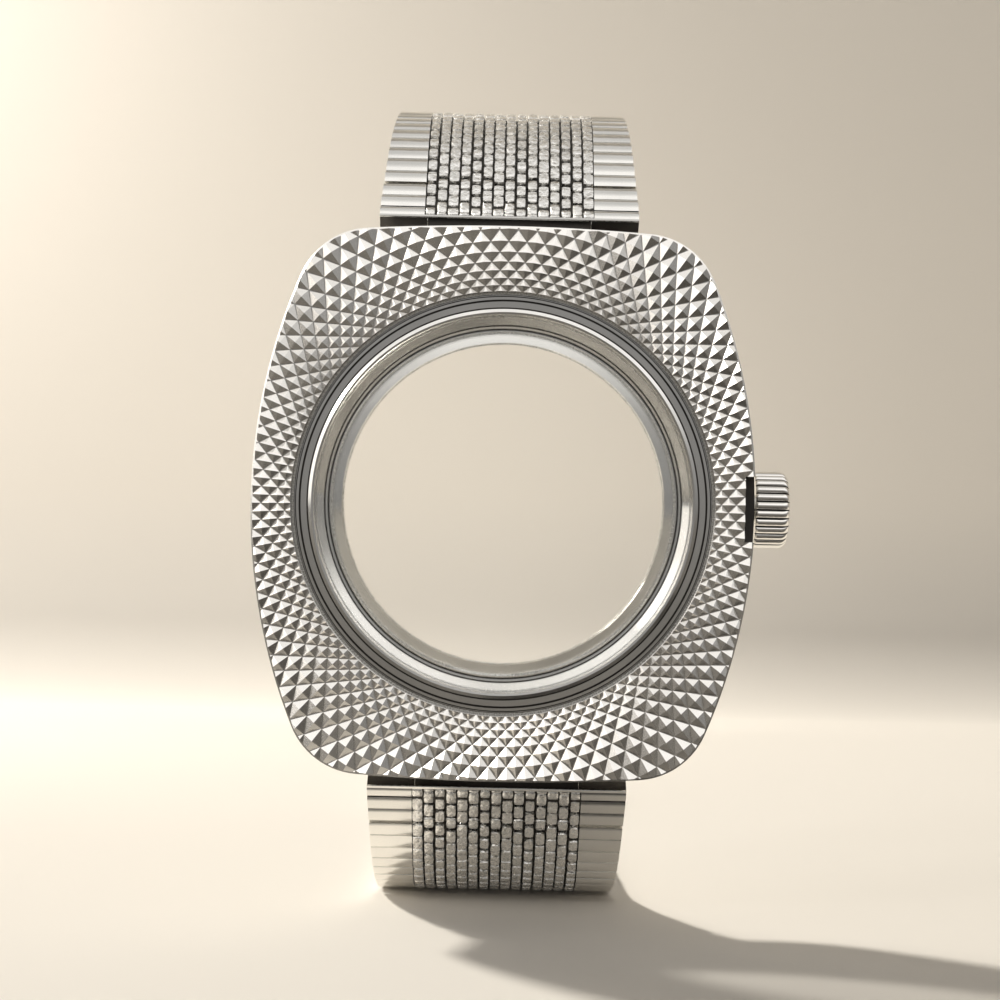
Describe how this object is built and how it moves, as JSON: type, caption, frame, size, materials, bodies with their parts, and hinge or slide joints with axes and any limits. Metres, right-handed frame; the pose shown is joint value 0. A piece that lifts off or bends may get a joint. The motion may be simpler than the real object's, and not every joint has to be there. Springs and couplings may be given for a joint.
{
  "type": "watch case",
  "caption": "Empty cushion-shaped watch case with an engraved pyramid bezel, clear crystal, fluted crown, display back and an open beaded metal bracelet.",
  "frame": {"origin": "on the axis of the movement cavity, level with the crown's stem", "axes": "+X to the crown, +Y from the front to the back, +Z to twelve o'clock"},
  "size_m": [0.0414, 0.095, 0.0648],
  "materials": {
    "engraved_steel": "cut facets, bright polish",
    "case_steel": "fine satin sides with polished edges",
    "ring_steel": "turned, circular grain",
    "crown_steel": "polished flutes",
    "bracelet_steel": "polished slats and frosted beads",
    "clasp_steel": "lengthwise satin grain",
    "pin_steel": "drawn wire",
    "crystal_glass": "clear, flat, polished",
    "gasket_rubber": "matt"
  },
  "bodies": {
    "case": {"bezel_plate": "engraved_steel", "case_middle": "case_steel", "crystal_ring": "ring_steel", "crystal": "crystal_glass", "flange_ring": "ring_steel", "crown_tube": "case_steel", "upper_spring_bar": "pin_steel", "lower_spring_bar": "pin_steel"},
    "case_back": {"back_ring": "case_steel", "back_glass": "crystal_glass", "back_gasket": "gasket_rubber"},
    "crown_slide": {"crown_gasket": "gasket_rubber"},
    "crown": {"crown": "crown_steel", "crown_stem": "pin_steel"},
    "upper_end": {"upper_end_link": "bracelet_steel", "upper_pin_1": "pin_steel"},
    "lower_end": {"lower_end_link": "bracelet_steel", "lower_pin_1": "pin_steel"},
    "upper_group_1": {"upper_link_1": "bracelet_steel", "upper_pin_2": "pin_steel"},
    "upper_group_2": {"upper_link_2": "bracelet_steel", "upper_pin_3": "pin_steel"},
    "upper_group_3": {"upper_link_3": "bracelet_steel", "upper_pin_4": "pin_steel"},
    "lower_group_1": {"lower_link_1": "bracelet_steel", "lower_pin_2": "pin_steel"},
    "lower_group_2": {"lower_link_2": "bracelet_steel", "lower_pin_3": "pin_steel"},
    "lower_group_3": {"lower_link_3": "bracelet_steel", "lower_pin_4": "pin_steel"},
    "lower_group_4": {"lower_link_4": "bracelet_steel", "lower_pin_5": "pin_steel"},
    "lower_group_5": {"lower_link_5": "bracelet_steel", "lower_pin_6": "pin_steel"},
    "upper_hook": {"upper_hook_link": "bracelet_steel"},
    "clasp": {"clasp_cover": "clasp_steel", "clasp_pin": "pin_steel"},
    "clasp_blade": {"clasp_blade": "clasp_steel"}
  },
  "joints": [
    {"name": "back_release", "type": "slide", "parent": "case", "child": "case_back", "axis": [0, 1, 0], "range_m": [0, 0.008]},
    {"name": "crown_pull", "type": "slide", "parent": "case", "child": "crown_slide", "axis": [1, 0, 0], "range_m": [0, 0.0009]},
    {"name": "crown_turn", "type": "hinge", "parent": "crown_slide", "child": "crown", "pos_m": [0, 0, 0], "axis": [1, 0, 0], "continuous": true},
    {"name": "upper_bar_hinge", "type": "hinge", "parent": "case", "child": "upper_end", "pos_m": [0, -0.001, 0.02205], "axis": [-1, 0, 0], "range_deg": [-30, 25]},
    {"name": "lower_bar_hinge", "type": "hinge", "parent": "case", "child": "lower_end", "pos_m": [0, -0.001, -0.02205], "axis": [1, 0, 0], "range_deg": [-30, 25]},
    {"name": "upper_hinge_1", "type": "hinge", "parent": "upper_end", "child": "upper_group_1", "pos_m": [0, 0.00067, 0.02404], "axis": [-1, 0, 0], "range_deg": [-5, 7]},
    {"name": "upper_hinge_2", "type": "hinge", "parent": "upper_group_1", "child": "upper_group_2", "pos_m": [0, 0.00932, 0.03088], "axis": [-1, 0, 0], "range_deg": [-5, 7]},
    {"name": "upper_hinge_3", "type": "hinge", "parent": "upper_group_2", "child": "upper_group_3", "pos_m": [0, 0.0203, 0.03073], "axis": [-1, 0, 0], "range_deg": [-5, 7]},
    {"name": "upper_hinge_4", "type": "hinge", "parent": "upper_group_3", "child": "upper_hook", "pos_m": [0, 0.03082, 0.02689], "axis": [-1, 0, 0], "range_deg": [-5, 7]},
    {"name": "lower_hinge_1", "type": "hinge", "parent": "lower_end", "child": "lower_group_1", "pos_m": [0, 0.00053, -0.02415], "axis": [1, 0, 0], "range_deg": [-5, 7]},
    {"name": "lower_hinge_2", "type": "hinge", "parent": "lower_group_1", "child": "lower_group_2", "pos_m": [0, 0.00932, -0.03068], "axis": [1, 0, 0], "range_deg": [-5, 7]},
    {"name": "lower_hinge_3", "type": "hinge", "parent": "lower_group_2", "child": "lower_group_3", "pos_m": [0, 0.02048, -0.03114], "axis": [1, 0, 0], "range_deg": [-5, 7]},
    {"name": "lower_hinge_4", "type": "hinge", "parent": "lower_group_3", "child": "lower_group_4", "pos_m": [0, 0.03168, -0.03114], "axis": [1, 0, 0], "range_deg": [-5, 7]},
    {"name": "lower_hinge_5", "type": "hinge", "parent": "lower_group_4", "child": "lower_group_5", "pos_m": [0, 0.04288, -0.03114], "axis": [1, 0, 0], "range_deg": [-5, 7]},
    {"name": "lower_hinge_6", "type": "hinge", "parent": "lower_group_5", "child": "clasp", "pos_m": [0, 0.05408, -0.03114], "axis": [1, 0, 0], "range_deg": [-5, 7]},
    {"name": "clasp_blade_hinge", "type": "hinge", "parent": "clasp", "child": "clasp_blade", "pos_m": [0, 0.08948, -0.03014], "axis": [-1, 0, 0], "range_deg": [0, 120]}
  ]
}
